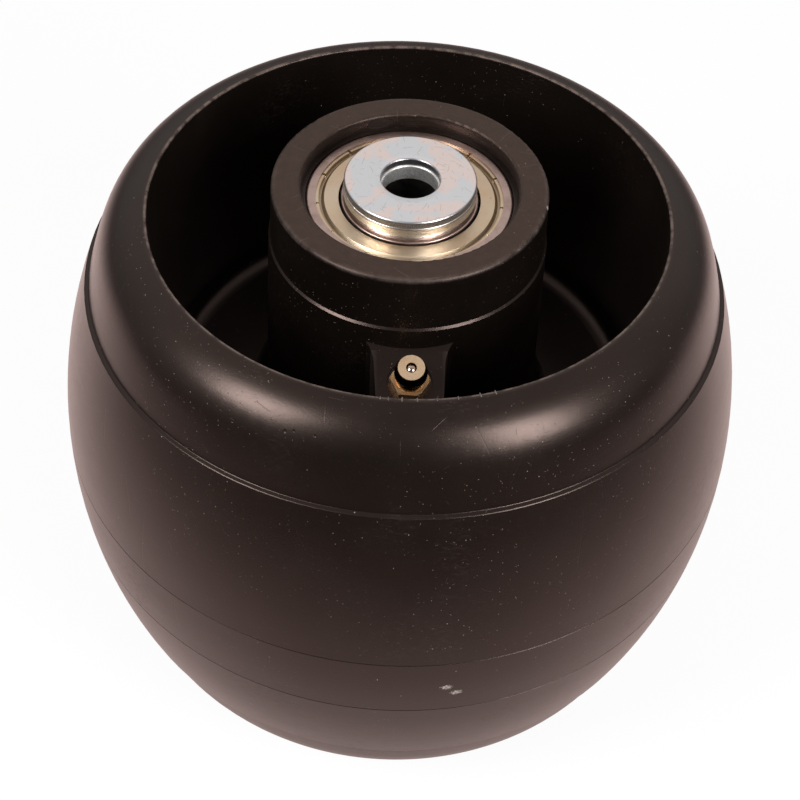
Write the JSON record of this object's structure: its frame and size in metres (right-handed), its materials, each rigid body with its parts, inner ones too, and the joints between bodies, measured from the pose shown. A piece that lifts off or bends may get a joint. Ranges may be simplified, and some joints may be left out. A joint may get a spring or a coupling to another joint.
{
  "type": "lawn mower wheel",
  "caption": "Barrel-shaped black moulded deck wheel on two shielded ball bearings, with plated end spacers for an axle bolt and a grease fitting on the hub.",
  "frame": {"origin": "centre of the wheel, on the axle line halfway between its two mouths", "axes": "+Z along the axle, up as the wheel stands on its end; -Y towards the grease fitting in the upper recess; +X to the right of it"},
  "size_m": [0.147, 0.147, 0.1312],
  "materials": {
    "black_moulding": "satin moulded nylon",
    "ring_steel": "ground bearing steel",
    "shield_plate": "pale yellow zinc on pressed steel",
    "zinc_plate": "bright zinc plate",
    "sleeve_steel": "turned steel",
    "ball_steel": "polished steel",
    "cage_steel": "pressed steel",
    "fitting_brass": "yellow plated",
    "spring_steel": "bright wire"
  },
  "bodies": {
    "axle": {"axle_sleeve": "sleeve_steel", "upper_end_spacer": "zinc_plate", "upper_washer": "zinc_plate", "upper_bearing_inner_ring": "ring_steel", "lower_end_spacer": "zinc_plate", "lower_washer": "zinc_plate", "lower_bearing_inner_ring": "ring_steel"},
    "wheel": {"wheel_body": "black_moulding", "upper_bearing_outer_ring": "ring_steel", "upper_bearing_shield": "shield_plate", "lower_bearing_outer_ring": "ring_steel", "lower_bearing_shield": "shield_plate", "grease_fitting_body": "fitting_brass", "fitting_spring": "spring_steel"},
    "upper_cage": {"upper_bearing_balls": "ball_steel", "upper_bearing_cage_outer_half": "cage_steel", "upper_bearing_cage_inner_half": "cage_steel", "upper_bearing_cage_rivets": "cage_steel"},
    "lower_cage": {"lower_bearing_balls": "ball_steel", "lower_bearing_cage_outer_half": "cage_steel", "lower_bearing_cage_inner_half": "cage_steel", "lower_bearing_cage_rivets": "cage_steel"},
    "check_ball": {"fitting_check_ball": "ball_steel"}
  },
  "joints": [
    {"name": "wheel_spin", "type": "hinge", "parent": "axle", "child": "wheel", "pos_m": [0, 0, 0], "axis": [0, 0, 1], "continuous": true},
    {"name": "upper_cage_spin", "type": "hinge", "parent": "axle", "child": "upper_cage", "pos_m": [0, 0, 0], "axis": [0, 0, 1], "continuous": true},
    {"name": "lower_cage_spin", "type": "hinge", "parent": "axle", "child": "lower_cage", "pos_m": [0, 0, 0], "axis": [0, 0, 1], "continuous": true},
    {"name": "check_ball_press", "type": "slide", "parent": "wheel", "child": "check_ball", "axis": [0, 0.3584, -0.9336], "range_m": [0, 0.0008], "stiffness_N_per_m": 300, "deforming": ["fitting_spring"]}
  ],
  "couplings": [
    {"joint": "upper_cage_spin", "follows": "wheel_spin", "ratio": 0.59969},
    {"joint": "lower_cage_spin", "follows": "wheel_spin", "ratio": 0.59969}
  ]
}
